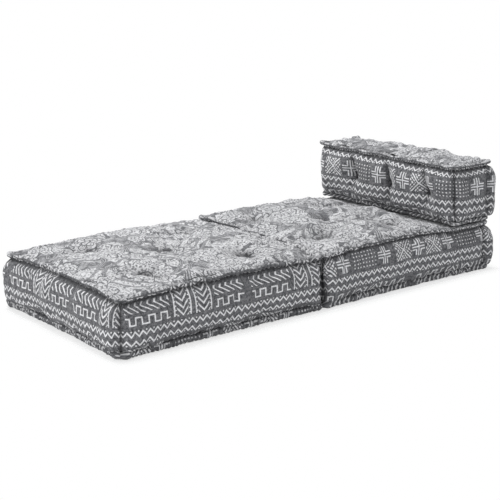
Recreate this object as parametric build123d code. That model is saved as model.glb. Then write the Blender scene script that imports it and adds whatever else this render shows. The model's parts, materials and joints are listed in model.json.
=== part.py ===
from build123d import *
from dataclasses import dataclass, field
import os

os.makedirs("parts", exist_ok=True)

# A folding floor sofa of three stuffed cotton cushions: a foot mattress, a seat mattress,
# and a back block that stands on the head end of the seat. Each cushion is a cotton filling
# in a cover of six cloth panels, with a rolled edge stitched round its top and its bottom,
# and twines pulled through it as tufts. +X runs from the foot to the head, +Z is up, and
# the origin is in the middle of the sofa, on the floor. Left and right are a sitter's.
# All sizes are in millimetres.

# Overall sizes, over the rolled edges
sofa_width = 600.0
foot_length = 685.0
seat_length = 715.0
mattress_height = 158.0
back_depth = 165.0
back_height = 195.0

# Stuffed shape
mattress_crown = 24.0
back_crown = 10.0
side_bulge = 13.0
side_draw = 5.0
fold_side_inset = 2.5
# Places along the crown, and how much of it rises there, as shares
crown_stations_shares = ((0.0, 0.05), (0.18, 0.66), (0.5, 1.0), (0.82, 0.66), (1.0, 0.05))

# Cloth and rolled edges
cloth = 1.5
lining_gap = 0.3
roll_diameter = 20.0
panel_dip = 7.0
bottom_panel_margin = 6.0

# Grooves of the upright corner seams
groove_depth = 7.0
groove_run = 26.0
wall_margin = 1.0

# Tufts
tuft_depth = 20.0
tuft_radius = 62.0
tuft_rim_rise = 4.0
tuft_swell = 3.0
pit_radius = 8.0
pleats = 12
back_tuft_depth = 17.0
back_tuft_radius = 48.0
recess_depth = 6.0
recess_radius = 14.0
twine_diameter = 3.0
knot_diameter = 11.0
knot_height = 4.5
knot_sides = 8
knot_crest_share = 0.6
twine_sides = 6
# Tuft places on a mattress, as shares of its half length and half width
mattress_tuft_shares = ((-0.5, -0.5), (0.5, -0.5), (0.0, 0.0), (-0.5, 0.5), (0.5, 0.5))
# Tuft places on the back block, as shares of its half width
back_tuft_shares = (0.48, -0.06, -0.62)

# Cloth strips that hinge the cushions together
strip_cloth = 0.8
strip_gap = 0.3
strip_height = 40.0
strip_end_margin = 45.0
strip_lift = 2.0

# One length by which every cutter runs past what it cuts
overrun = 10.0

# Worked out from the sizes above
roll_radius = roll_diameter / 2
strip_stack = 2 * strip_cloth + 3 * strip_gap
total_length = foot_length + strip_stack + seat_length
foot_centre_x = -total_length / 2 + foot_length / 2
seat_centre_x = total_length / 2 - seat_length / 2
fold_x = -total_length / 2 + foot_length + strip_stack / 2
back_centre_x = total_length / 2 - back_depth / 2
back_base = mattress_height + strip_stack
twine_hole = twine_diameter / 2 + lining_gap


@dataclass
class Cushion:
    """One stuffed cushion, in its own frame: middle of its footprint at the origin, bottom at zero."""

    name: str
    length: float
    width: float
    height: float
    crown: float
    side_names: tuple
    bulges: tuple
    shelf: float = 0.0
    up_tufts: list = field(default_factory=list)
    across_tufts: list = field(default_factory=list)


def plan_corners(cushion, inset, level):
    """Four corners of the footprint, moved in by the inset, anticlockwise from front left."""
    half_x = cushion.length / 2 - inset
    half_y = cushion.width / 2 - inset
    signs = ((-1, -1), (1, -1), (1, 1), (-1, 1))
    return [Vector(half_x * along, half_y * across, level) for along, across in signs]


def bowed_side(start, end, outward, bow):
    """Side between two points, bowed outwards by the given height, or inwards below zero."""
    if bow == 0:
        return Line(start, end)
    return ThreePointArc(start, (start + end) / 2 + outward * bow, end)


def drawn_in_outline(cushion, inset, level):
    """Closed outline of the footprint, its free sides drawn in between the corners."""
    corners = plan_corners(cushion, inset, level)
    edges = []
    for index, start in enumerate(corners):
        end = corners[(index + 1) % 4]
        outward = (end - start).normalized().cross(Vector(0, 0, 1))
        draw = side_draw if cushion.bulges[index] else 0
        edges.append(bowed_side(start, end, outward, -draw))
    return Wire(edges)


def footprint_prism(cushion, inset, low, high):
    """Upright prism of the drawn-in footprint, moved in by the inset."""
    return Solid.extrude(Face(drawn_in_outline(cushion, inset, low)), Vector(0, 0, high - low))


def roll(cushion, level, radius):
    """Rolled edge at one level: a round tube, mitred at the corners and where its sides draw in."""
    corners = plan_corners(cushion, roll_radius, level)
    points = []
    for index, start in enumerate(corners):
        end = corners[(index + 1) % 4]
        inward = Vector(0, 0, 1).cross((end - start).normalized())
        draw = side_draw if cushion.bulges[index] else 0
        points += [start, (start + end) / 2 + inward * draw]
    seam = (points[0] + points[1]) / 2
    path = Wire.make_polygon([seam, *points[1:], points[0]], close=True)
    section = Plane(seam, z_dir=(points[1] - points[0]).normalized()) * Circle(radius)
    return sweep(section, path=path, transition=Transition.RIGHT).solid()


def corner_arc(tangent_point, groove_point, inward):
    """Arc that leaves a side smoothly at one point and turns into the corner groove."""
    chord = groove_point - tangent_point
    radius = chord.length**2 / (2 * chord.dot(inward))
    centre = tangent_point + inward * radius
    half_way = (tangent_point - centre).normalized() + (groove_point - centre).normalized()
    return ThreePointArc(tangent_point, centre + half_way.normalized() * radius, groove_point)


def grooved_outline(cushion, inset, bows, level):
    """Closed outline of the side walls, with a groove at each corner seam."""
    corners = plan_corners(cushion, inset, level)
    edges = []
    for index, start in enumerate(corners):
        end = corners[(index + 1) % 4]
        along = (end - start).normalized()
        inward = Vector(0, 0, 1).cross(along)
        first = start + along * groove_run
        last = end - along * groove_run
        groove_first = start + (inward + along) * groove_depth
        groove_last = end + (inward - along) * groove_depth
        edges.append(corner_arc(first, groove_first, inward))
        edges.append(bowed_side(first, last, inward * -1, bows[index]))
        edges.append(corner_arc(last, groove_last, inward))
    return Wire(edges)


def wall_body(cushion, skin):
    """Closed body inside the side walls, lying deeper than the outer cloth by the skin."""
    edge_inset = roll_radius + wall_margin + skin
    edge_bows = [-side_draw if bulge else 0 for bulge in cushion.bulges]
    middle_bows = [fold_side_inset + bulge if bulge else 0 for bulge in cushion.bulges]
    return Solid.make_loft([
        grooved_outline(cushion, edge_inset, edge_bows, roll_radius),
        grooved_outline(cushion, fold_side_inset + skin, middle_bows, cushion.height / 2),
        grooved_outline(cushion, edge_inset, edge_bows, cushion.height - roll_radius),
    ])


def crown_section(cushion, x, rise_share, skin):
    """Upright section of the crowned top at one place along the cushion."""
    half_y = cushion.width / 2
    base = cushion.height - roll_diameter - skin
    edge = cushion.height - panel_dip - skin
    top = edge + (panel_dip + cushion.crown) * rise_share
    low_left, low_right = Vector(x, -half_y, base), Vector(x, half_y, base)
    left, right = Vector(x, -half_y, edge), Vector(x, half_y, edge)
    return Wire([
        Line(low_left, low_right),
        Line(low_right, right),
        ThreePointArc(right, Vector(x, 0, top), left),
        Line(left, low_left),
    ])


def crown_body(cushion, skin):
    """Crowned top of the cushion, from below its upper roll to the cloth less the skin."""
    start = -cushion.length / 2
    stretch = cushion.length - cushion.shelf
    stations = [(start + stretch * along, rise) for along, rise in crown_stations_shares]
    if cushion.shelf:
        shelf_rise = stations[-1][1]
        stations.append((cushion.length / 2 - cushion.shelf / 2, shelf_rise))
        stations.append((cushion.length / 2, shelf_rise))
    return Solid.make_loft([crown_section(cushion, x, rise, skin) for x, rise in stations])


def ringed(rings, sides):
    """Ruled loft through level many-sided rings, each given by its radius and its height."""
    return Solid.make_loft([
        Pos(0, 0, level) * Wire(RegularPolygon(radius, sides).edges()) for radius, level in rings
    ], ruled=True)


def funnel(radius, depth, skin):
    """Pleated dimple round a tuft, mouth at zero, pointing down, wider and deeper by the skin."""
    pit, mouth = pit_radius + skin, radius + skin
    low, high = -depth - skin, tuft_rim_rise - skin
    swell = ((pit + mouth) / 2, (low + high) / 2 + tuft_swell)
    return ringed([(pit, low), swell, (mouth, high), (mouth, high + overrun)], pleats)


def well(radius, depth, skin):
    """Straight-flanked clearance in the filling round a dimple of the cloth."""
    mouth, high = radius + skin, tuft_rim_rise - skin
    return ringed([(pit_radius + skin, -depth - skin), (mouth, high), (mouth, high + overrun)], pleats)


def recess(skin):
    """Shallow recess for a knot on the underside, mouth at zero, pointing down into the cushion."""
    mouth = recess_radius + skin
    return ringed([(pit_radius + skin, -recess_depth - skin), (mouth, 0), (mouth, overrun)], pleats)


def knot():
    """Small knot of twine that narrows outwards, its flat side at zero."""
    radius = knot_diameter / 2
    return ringed([(radius, 0), (radius * knot_crest_share, knot_height)], knot_sides)


def surface_points(body, start, end):
    """Where a straight line enters and leaves a body."""
    inside = body.intersect(Edge.make_line(start, end))
    ends = [vertex.center() for vertex in inside.vertices()]
    ends.sort(key=lambda point: (point - start).length)
    return ends[0], ends[-1]


def tuft_mouths(cushion):
    """Planes at both mouths of every tuft, facing out of the cushion, a pair for each twine."""
    mouths = []
    for x, y in cushion.up_tufts:
        low = Vector(x, y, cushion.height - roll_diameter)
        high = Vector(x, y, cushion.height + cushion.crown + overrun)
        top = surface_points(crown_body(cushion, 0), low, high)[1]
        mouths.append((Plane(top, z_dir=(0, 0, 1)), Plane((x, y, 0), z_dir=(0, 0, -1))))
    for y, z in cushion.across_tufts:
        reach = cushion.length / 2 + side_bulge + overrun
        front, rear = surface_points(wall_body(cushion, 0), Vector(-reach, y, z), Vector(reach, y, z))
        mouths.append((Plane(front, z_dir=(-1, 0, 0)), Plane(rear, z_dir=(1, 0, 0))))
    return mouths


def top_cutters(cushion, mouths, skin, shape):
    """Dimples of the upright tufts in the crowned top."""
    up_mouths = mouths[:len(cushion.up_tufts)]
    return [upper.location * shape(tuft_radius, tuft_depth, skin) for upper, lower in up_mouths]


def bottom_cutters(cushion, mouths, skin):
    """Recesses of the upright tufts in the underside."""
    return [lower.location * recess(skin) for upper, lower in mouths[:len(cushion.up_tufts)]]


def side_cutters(cushion, mouths, skin, shape):
    """Dimples of the level tufts in the front and rear walls."""
    return [
        mouth.location * shape(back_tuft_radius, back_tuft_depth, skin)
        for pair in mouths[len(cushion.up_tufts):]
        for mouth in pair
    ]


def knot_seats(cushion, mouths):
    """Planes where the knots sit in their dimples, just off the cloth, a pair for each twine."""
    seats = []
    for index, pair in enumerate(mouths):
        upright = index < len(cushion.up_tufts)
        depths = (tuft_depth, recess_depth) if upright else (back_tuft_depth, back_tuft_depth)
        seats.append([
            Plane(mouth.origin - mouth.z_dir * (depth - lining_gap), z_dir=mouth.z_dir)
            for mouth, depth in zip(pair, depths)
        ])
    return seats


def bar(start, end, radius):
    """Straight run of twine between two points."""
    axis = end - start
    section = Plane(start, z_dir=axis.normalized()) * RegularPolygon(radius, twine_sides)
    return extrude(section, axis.length).solid()


def side_wedge(cushion, index):
    """Block that holds one side wall, mitred at the corner seams."""
    outer = plan_corners(cushion, -side_bulge - overrun, 0)
    inner = plan_corners(cushion, min(cushion.length, cushion.width) / 2 - overrun, 0)
    following = (index + 1) % 4
    outline = Wire.make_polygon([outer[index], outer[following], inner[following], inner[index]])
    return Solid.extrude(Face(outline), Vector(0, 0, cushion.height))


def largest(shape):
    """The largest solid of a shape, without the crumbs that a cut may leave."""
    return max(shape.solids(), key=lambda solid: solid.volume)


def less(body, cutters):
    """The body less every cutter."""
    return largest(body.cut(*cutters)) if cutters else body


def crowned_top(cushion, skin, inset):
    """Crowned top, cut off inside the rolled edge at the inset."""
    clip = footprint_prism(cushion, inset, 0, cushion.height + cushion.crown + overrun)
    return largest(crown_body(cushion, skin).intersect(clip))


def flat_bottom(cushion, skin, inset):
    """Flat lower part of the cushion, from the skin up to the top of the lower roll."""
    return footprint_prism(cushion, inset, skin, roll_diameter)


def dress(cushion):
    """All pieces of one cushion by name, in the cushion's own frame."""
    core_skin = cloth + lining_gap
    upper_level = cushion.height - roll_radius
    mouths = tuft_mouths(cushion)
    seats = knot_seats(cushion, mouths)
    holes = [bar(first.origin, second.origin, twine_hole) for first, second in seats]
    seat_radius = roll_radius + lining_gap
    upper_seat = roll(cushion, upper_level, seat_radius)
    lower_seat = roll(cushion, roll_radius, seat_radius)

    top = less(crowned_top(cushion, 0, roll_radius), top_cutters(cushion, mouths, 0, funnel))
    under_top = less(crown_body(cushion, cloth), top_cutters(cushion, mouths, cloth, funnel))
    top = less(top, [under_top, upper_seat, *holes])
    bottom_inset = roll_radius + bottom_panel_margin
    bottom = less(flat_bottom(cushion, 0, bottom_inset), bottom_cutters(cushion, mouths, 0))
    over_bottom = flat_bottom(cushion, cloth, 0)
    over_bottom = less(over_bottom, bottom_cutters(cushion, mouths, cloth))
    bottom = less(bottom, [over_bottom, lower_seat, *holes])
    walls = less(wall_body(cushion, 0), side_cutters(cushion, mouths, 0, funnel))
    lining = less(wall_body(cushion, cloth), side_cutters(cushion, mouths, cloth, funnel))
    walls = less(walls, [lining, upper_seat, lower_seat, *holes])

    core_inset = roll_diameter + groove_depth / 2 + core_skin
    between_rolls = footprint_prism(
        cushion, -side_bulge - overrun, roll_diameter + core_skin,
        cushion.height - roll_diameter - core_skin,
    )
    core = largest(wall_body(cushion, core_skin).intersect(between_rolls))
    core = core.fuse(
        crowned_top(cushion, core_skin, core_inset), flat_bottom(cushion, core_skin, core_inset)
    )
    core = less(core, [
        *top_cutters(cushion, mouths, core_skin, well),
        *bottom_cutters(cushion, mouths, core_skin),
        *side_cutters(cushion, mouths, core_skin, well),
        *holes,
    ])

    pieces = {
        "top_panel": top,
        "bottom_panel": bottom,
        "top_roll": roll(cushion, upper_level, roll_radius),
        "bottom_roll": roll(cushion, roll_radius, roll_radius),
        "filling": core,
    }
    for index, side in enumerate(cushion.side_names):
        pieces[side] = largest(walls.intersect(side_wedge(cushion, index)))
    pieces["tuft_twines"] = Compound([
        bar(first.origin, second.origin, twine_diameter / 2) for first, second in seats
    ])
    pieces["tuft_knots"] = Compound([seat.location * knot() for pair in seats for seat in pair])
    return {f"{cushion.name}_{name}": piece for name, piece in pieces.items()}


def tuft_grid(length, shelf):
    """Tuft places on the open part of a mattress, in front of the shelf."""
    half_open = (length - shelf) / 2
    return [
        (along * half_open - shelf / 2, across * sofa_width / 2)
        for along, across in mattress_tuft_shares
    ]


def fold_leaf(low, high):
    """Leaf of a hinge strip between two corners."""
    size = high - low
    return Pos(*((low + high) / 2)) * Box(*size)


foot = Cushion(
    name="foot",
    length=foot_length,
    width=sofa_width,
    height=mattress_height,
    crown=mattress_crown,
    side_names=("left_side", "inner_end", "right_side", "toe_end"),
    bulges=(side_bulge, 0, side_bulge, side_bulge),
    up_tufts=tuft_grid(foot_length, 0),
)
seat = Cushion(
    name="seat",
    length=seat_length,
    width=sofa_width,
    height=mattress_height,
    crown=mattress_crown,
    side_names=("left_side", "head_end", "right_side", "inner_end"),
    bulges=(side_bulge, side_bulge, side_bulge, 0),
    shelf=back_depth - roll_radius,
    up_tufts=tuft_grid(seat_length, back_depth),
)
back = Cushion(
    name="back",
    length=back_depth,
    width=sofa_width,
    height=back_height,
    crown=back_crown,
    side_names=("left_end", "rear", "right_end", "front"),
    bulges=(side_bulge, side_bulge, side_bulge, side_bulge),
    across_tufts=[(share * sofa_width / 2, back_height / 2) for share in back_tuft_shares],
)

pieces = {}
places = (
    (foot, Pos(foot_centre_x, 0, 0)),
    (seat, Pos(seat_centre_x, 0, 0)),
    (back, Pos(back_centre_x, 0, back_base)),
)
for cushion, place in places:
    for name, piece in dress(cushion).items():
        pieces[name] = place * piece

# Hinge strip between the mattresses: one upright leaf on each, folding at the floor
strip_reach = sofa_width / 2 - strip_end_margin
foot_leaf_x = fold_x - strip_stack / 2 + strip_gap
seat_leaf_x = fold_x + strip_gap / 2
pieces["foot_fold_leaf"] = fold_leaf(
    Vector(foot_leaf_x, -strip_reach, strip_lift),
    Vector(foot_leaf_x + strip_cloth, strip_reach, strip_height),
)
pieces["seat_fold_leaf"] = fold_leaf(
    Vector(seat_leaf_x, -strip_reach, strip_lift),
    Vector(seat_leaf_x + strip_cloth, strip_reach, strip_height),
)

# Hinge strip under the back block: two level leaves, folding at the head end
strip_rear_x = total_length / 2 - strip_lift
strip_front_x = total_length / 2 - strip_height
pieces["seat_back_leaf"] = fold_leaf(
    Vector(strip_front_x, -strip_reach, mattress_height + strip_gap),
    Vector(strip_rear_x, strip_reach, mattress_height + strip_gap + strip_cloth),
)
pieces["back_fold_leaf"] = fold_leaf(
    Vector(strip_front_x, -strip_reach, back_base - strip_gap - strip_cloth),
    Vector(strip_rear_x, strip_reach, back_base - strip_gap),
)

for name, piece in pieces.items():
    export_step(piece, f"parts/{name}.step")

print("pieces", len(pieces))
print("fold line at x", round(fold_x, 2), "back hinge at x", total_length / 2, "z", back_base - strip_stack / 2)
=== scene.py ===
import json
from math import atan, cos, pi, radians, sin, sqrt, tau

import bpy
import numpy as np
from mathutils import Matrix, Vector

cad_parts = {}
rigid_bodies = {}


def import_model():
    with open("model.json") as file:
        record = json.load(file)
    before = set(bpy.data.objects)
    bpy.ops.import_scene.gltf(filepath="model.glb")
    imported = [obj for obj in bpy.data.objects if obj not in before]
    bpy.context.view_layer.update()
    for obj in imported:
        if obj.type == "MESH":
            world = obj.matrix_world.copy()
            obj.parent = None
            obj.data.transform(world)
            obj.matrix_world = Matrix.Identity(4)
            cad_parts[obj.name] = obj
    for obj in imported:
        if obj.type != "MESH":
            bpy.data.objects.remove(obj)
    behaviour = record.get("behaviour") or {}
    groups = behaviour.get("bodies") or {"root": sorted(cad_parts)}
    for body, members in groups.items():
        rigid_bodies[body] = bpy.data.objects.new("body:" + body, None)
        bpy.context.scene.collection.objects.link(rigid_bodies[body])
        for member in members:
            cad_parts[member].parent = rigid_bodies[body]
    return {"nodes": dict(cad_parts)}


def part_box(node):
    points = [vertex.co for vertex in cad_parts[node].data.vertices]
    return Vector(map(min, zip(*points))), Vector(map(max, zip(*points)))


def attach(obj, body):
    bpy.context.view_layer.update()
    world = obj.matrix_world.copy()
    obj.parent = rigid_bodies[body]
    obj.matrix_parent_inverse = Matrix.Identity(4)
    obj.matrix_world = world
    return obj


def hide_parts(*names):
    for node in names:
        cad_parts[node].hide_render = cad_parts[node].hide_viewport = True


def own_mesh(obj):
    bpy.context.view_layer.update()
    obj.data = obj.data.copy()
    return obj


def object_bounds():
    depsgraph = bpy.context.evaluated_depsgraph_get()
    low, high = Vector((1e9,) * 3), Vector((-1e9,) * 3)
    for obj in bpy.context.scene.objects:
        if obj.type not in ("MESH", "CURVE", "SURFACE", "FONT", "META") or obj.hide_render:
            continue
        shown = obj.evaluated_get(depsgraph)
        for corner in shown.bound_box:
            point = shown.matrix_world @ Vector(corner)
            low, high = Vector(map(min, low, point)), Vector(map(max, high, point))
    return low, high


# A folding floor sofa of three stuffed cotton cushions, dressed for a product photograph.
# Every cushion has printed panels, puckered rolled edges, stitches and tufts, built as grids
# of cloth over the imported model. All sizes are in metres.

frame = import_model()
cad_low, cad_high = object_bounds()
scene = bpy.context.scene

# Grids of cloth
panel_step = 0.0085
wall_step = 0.0075
corner_crowding = 0.6
roll_step = 0.0036
wall_rows = 17
roll_rows = 14

# Stuffed shape: powers of the crown, of the lifted middle and of the walls' bulge, how far the
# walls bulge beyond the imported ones, and how cloth is drawn in at the seams, rolls and tufts
crown_power = 4.0
lift_power = 2.6
near_bulge = 0.012
wall_bulge = 0.019
end_bulge = 0.031
bulge_power = 4.6
groove_inset = 0.0075
lower_roll_push = 0.011
side_draw = 0.005
corner_round = 0.006
seam_round = 0.009
upper_roll_share = 0.86
lower_roll_share = 1.32
seam_groove = 0.016
seam_width = 0.0042
# How far the painted shade reaches from a wall's corner seam
seam_painted_shade = 0.0048
seam_lead = 0.016
# How far the painted shade reaches from a wall's seam beside the joint
joint_painted_shade = 0.0085
ear_reach = 0.007
ear_rise = 0.005
ear_length = 0.014
ear_thinning = 0.1
pinch_share = 0.34
dimple_radius = 0.030
back_dimple_radius = 0.020
pinned_radius = panel_step * 1.2
roll_wander = 0.0016
roll_roughness = 0.0009
# Where round a roll its groove by the wall lies, and how wide the painted shade in it is
groove_shade_turn = 0.9
groove_shade_span = 0.45
# How much flatter the cotton is than its cover where tufts draw that in
hollow_tops = (0, 0, 0.018)
hollow_sides = (0.022, 0, 0)

# Back block, which leans a little and has its far end stuffed fuller
back_lean = 0.009
back_swell = 0.018
crease_depth = 0.019
crease_width = 0.0058
crease_slope = 0.020
crease_slant = 0.22
crease_length = 0.07
crease_cloth = 0.029
pit_depth = 0.009
pit_radius = 0.012
pillow_rise = 0.006
pillow_reach = 0.07

# Creases that run out from the tufts of a top panel, and how far the painted shade at a tuft
# reaches
fold_count = 5
fold_depth = 0.015
fold_width = 0.0105
fold_reach = 0.105
fold_bend = 0.006
unfolded_radius = 0.014
unfolded_share = 0.85
tuft_painted_shade_radius = 0.019

# Tops where the foot meets the seat: how they dip at the gap and how far painted shade darkens them
# there, and where one is stuffed higher at its far corner
joint_dip = 0.006
joint_slope = 0.02
joint_shade_width = 0.013
joint_shade_length = 0.15
step_length = 0.14
step_width = 0.16

# Cloth simulation
settle_frames = 16
slack_share = 0.035
cloth_pressure = 2.6
cloth_cap = 0.0065
cloth_settings = {
    "quality": 5, "mass": 0.2, "tension_stiffness": 12, "compression_stiffness": 12,
    "shear_stiffness": 4, "bending_stiffness": 0.4, "vertex_group_mass": "pinned",
    "shrink_min": -slack_share, "use_pressure": True, "uniform_pressure_force": cloth_pressure,
}

# Puckers and wrinkles
pucker_pitch = 0.0135
pucker_bend = 1.3
wrinkle_depth = 0.0014
# On walls and tops: how long and deep the puckers are and how far they reach in, the wavelengths
# of wrinkles and sags, the share that draws wrinkles out upright, and how deep the sags are
wall_pucker_reach = 0.02
wall_unevenness = (0.02025, 0.0022, wall_pucker_reach, 0.03, 0.13, 0.45, 0.0030)
top_unevenness = (0.0189, 0.00264, 0.022, 0.035, 0.12, 1, 0.0042)

# How far from a roll cloth stays held by it, and how far its painted shade reaches
wall_held = 0.006
wall_hem = 0.002
wall_roll_painted_shade = 0.004
top_held = 0.008
top_roll_painted_shade = 0.005

# Stitches along the rolls
stitch_thickness = 0.0014
stitch_turn = radians(38)
stitch_sides = 6
# Where its rings lie along a stitch, how wide they are, and how proud of the cloth
stitch_shape = (
    (-1.5, -1.1, 0, 1.1, 1.5), (0.35, 0.9, 1, 0.9, 0.35), (-0.9, -0.1, 0.1, -0.1, -0.9)
)

# Turns round an upper roll, from its outer side, between which it has the banded cloth
banded_from = radians(-95)
banded_to = radians(22)
roll_meets_wall = radians(-65)


class Cushion:
    """Sizes of one cushion, read from its rolls in the frame, and how it is stuffed.

    Each side bulges, and sags where its skew is under one. The top rises by the crown, its
    middle is lifted with the roll, and its far corner at the joint steps up. A back that stands
    on the cushion begins at the open end.
    """

    def __init__(self, name, sides, bulges, skews, crown, lift, step, open_end=None):
        low, lower_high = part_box(f"{name}_bottom_roll")
        _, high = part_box(f"{name}_top_roll")
        self.name = name
        self.sides = sides
        self.bulges = np.array(bulges)
        self.skews = np.array(skews)
        self.flat_sides = np.flatnonzero(self.bulges == 0)
        self.crown = crown
        self.lift = lift
        self.step = step
        self.low, self.high = np.array(low), np.array(high)
        self.centre = (self.low + self.high) / 2
        self.length, self.width, self.height = self.high - self.low
        self.side_lengths = np.array([self.length, self.width] * 2)
        self.roll = (lower_high.z - low.z) / 2
        self.open_end = open_end
        self.free_end = self.high[0] if open_end is None else open_end
        self.joint = self.high[0] if step < 0 else self.low[0]
        twines = islands(frame["nodes"][f"{name}_tuft_twines"])
        self.upright_twines, self.level_twines = (
            [ends for ends in twines if (ends[2][2] - ends[0][2] > self.height / 2) == upright]
            for upright in (True, False)
        )


def islands(piece):
    """Lowest corner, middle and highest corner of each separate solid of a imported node."""
    mesh = piece.data
    places = {}
    root = list(range(len(mesh.vertices)))

    def find(index):
        while root[index] != index:
            root[index] = root[root[index]]
            index = root[index]
        return index

    for vertex in mesh.vertices:
        key = tuple(round(value, 6) for value in vertex.co)
        root[vertex.index] = places.setdefault(key, vertex.index)
    for edge in mesh.edges:
        first, second = (find(index) for index in edge.vertices)
        root[first] = second
    groups = {}
    for vertex in mesh.vertices:
        groups.setdefault(find(vertex.index), []).append(vertex.co[:])
    boxes = [(np.min(group, axis=0), np.max(group, axis=0)) for group in groups.values()]
    return [(low, (low + high) / 2, high) for low, high in boxes]


foot = Cushion(
    "foot", ("left_side", "inner_end", "right_side", "toe_end"),
    bulges=(near_bulge, 0, wall_bulge, wall_bulge), skews=(0.72, 1, 0.9, 0.85),
    crown=0.008, lift=0.0125, step=-0.0015,
)
back = Cushion(
    "back", ("left_end", "rear", "right_end", "front"),
    bulges=(near_bulge, end_bulge, 0.010, near_bulge), skews=(0.72, 0.6, 1.4, 0.72),
    crown=0.010, lift=-0.002, step=0,
)
seat = Cushion(
    "seat", ("left_side", "head_end", "right_side", "inner_end"),
    bulges=(near_bulge, end_bulge, wall_bulge, 0), skews=(0.72, 0.75, 0.9, 1),
    crown=0.008, lift=0.0145, step=0.009, open_end=back.low[0],
)
cushions = (foot, seat, back)


# Shapes

square = np.array([(-1, -1), (1, -1), (1, 1), (-1, 1)])


def ripples(across, along, wavelength, seed, count=18):
    """Smooth unevenness from a few seeded waves, about one high and one wavelength long."""
    chance = np.random.default_rng(seed)
    total = np.zeros(np.broadcast(across, along).shape)
    for _ in range(count):
        heading = chance.uniform(0, tau)
        pace = tau / (wavelength * chance.uniform(0.7, 1.5))
        turn = pace * (across * cos(heading) + along * sin(heading))
        total += np.cos(turn + chance.uniform(0, tau))
    return total / sqrt(count)


def bell(distance, reach):
    """One at no distance, and a soft fall to zero beyond the reach."""
    return np.exp(-(distance / reach) ** 2)


def fading(distance, reach):
    """One at no distance, and a fall that is steepest there."""
    return np.exp(-distance / reach)


def unit(value):
    return np.clip(value, 0, 1)


def perimeter(cushion, step, crowding=0.0):
    """Places round the footprint, crowded at its corners: side, how far along it, its length."""
    counts = [round(whole / step) for whole in cushion.side_lengths]
    side = np.repeat(range(4), counts)
    share = np.concatenate([np.arange(count) / count for count in counts])
    share -= crowding * np.sin(tau * share) / tau
    length = cushion.side_lengths[side]
    return side, share * length, length


def outline(cushion, places, inset, rounding, push):
    """Outline of the footprint, moved in, rounded and pushed out, and the outward directions."""
    side, along, length = places
    to_corner = np.minimum(along, length - along)
    at_start = along < length / 2
    arc = np.maximum(pi * rounding / 4, 1e-9)
    angle = pi / 4 * unit(1 - to_corner / arc)
    beyond = np.maximum(to_corner - arc, 0)
    stretch = (length / 2 - rounding) / (length / 2 - arc)
    tangent = np.where(to_corner < arc, rounding * (1 - np.sin(angle)), rounding + beyond * stretch)
    tangent = inset + tangent * (length - 2 * inset) / length
    depth = inset + rounding * (1 - np.cos(angle))
    tangent = np.where(at_start, tangent, length - tangent)
    corners = square / 2 * (cushion.length, cushion.width) + cushion.centre[:2]
    heading = (np.roll(square, -1, axis=0) - square)[side] // 2
    outward = np.stack([heading[:, 1], -heading[:, 0]], axis=1)
    lean = np.where(at_start, -1, 1) * np.sin(angle)
    facing = outward * np.cos(angle)[:, None] + heading * lean[:, None]
    points = corners[side] + heading * tangent[:, None] - outward * depth[:, None]
    return points + facing * np.broadcast_to(push, along.shape)[:, None], facing


def draw_in(cushion, places):
    """How far each place of the footprint is drawn in between the corners."""
    side, along, length = places
    share = along / length
    free = ~np.isin(side, cushion.flat_sides)
    return side_draw * 4 * share * (1 - share) * free


def lifted(cushion, x, y):
    """How far the thick middle of a cushion lifts its upper roll and top at a place."""
    along = np.clip(2 * (x - cushion.low[0]) / (cushion.free_end - cushion.low[0]) - 1, -1, 1)
    across = np.clip(2 * (y - cushion.low[1]) / cushion.width - 1, -1, 1)
    fall_along = abs(along) ** lift_power
    fall = fall_along * abs(across) ** lift_power
    if cushion.open_end is not None:
        fall = np.where(along > 0, fall_along, fall)
    corner = bell(x - cushion.joint, step_length) * bell(cushion.high[1] - y, step_width)
    return cushion.lift * (1 - fall) + cushion.step * corner


def lean_over(cushion, points):
    """Leans the back block towards the foot at its top, and swells its far end."""
    if cushion is not back:
        return points
    points = points.copy()
    rise = (points[..., 2] - cushion.centre[2]) / (cushion.height / 2)
    forward = (cushion.high[0] - points[..., 0]) / cushion.length
    across = unit((points[..., 1] - cushion.centre[1]) / (cushion.width / 2))
    points[..., 0] -= back_lean * rise * forward
    points[..., 1] += back_swell * across ** 2
    return points


def lattice(rows, columns, wrap_rows=False, wrap_columns=False):
    """Faces of a grid: their corners' rows and columns, which run on past a wrap, and points."""
    row, column = np.meshgrid(
        np.arange(rows - 1 + wrap_rows), np.arange(columns - 1 + wrap_columns), indexing="ij"
    )
    row, column = row.ravel(), column.ravel()
    row = np.stack([row, row, row + 1, row + 1], axis=1)
    column = np.stack([column, column + 1, column + 1, column], axis=1)
    return row, column, (row % rows) * columns + column % columns


def new_piece(name, points, faces, flat):
    """Smooth mesh object of four-sided faces, with its places on the flat cloth."""
    mesh = bpy.data.meshes.new(name)
    mesh.from_pydata(points.tolist(), [], faces.tolist())
    layer = mesh.uv_layers.new(name="cloth")
    layer.data.foreach_set("uv", flat.reshape(-1).astype(np.float32))
    mesh.polygons.foreach_set("use_smooth", np.ones(len(mesh.polygons), bool))
    mesh.update()
    piece = bpy.data.objects.new(name, mesh)
    scene.collection.objects.link(piece)
    return piece


def cloth_grid(name, points, flat, wrap_columns=False):
    """Mesh of a grid of points, with its places on the flat cloth as the texture map."""
    row, column, corners = lattice(*points.shape[:2], wrap_columns=wrap_columns)
    return new_piece(name, points.reshape(-1, 3), corners, flat[row, column])


def read(items, key, width=3):
    """One value of each item of a mesh, as rows of numbers."""
    values = np.empty(len(items) * width)
    items.foreach_get(key, values)
    return values.reshape(-1, width)


def move_points(mesh, points):
    mesh.vertices.foreach_set("co", points.reshape(-1))
    mesh.update()


def paint_fold_shade(mesh, depth):
    """Notes how much painted shade each point takes, more the deeper in a fold it lies, for the
    cloth to darken there.
    """
    painted_shade_attribute = mesh.attributes.new("fold", "FLOAT", "POINT")
    painted_shade_attribute.data.foreach_set("value", unit(depth).astype(np.float32))


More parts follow.
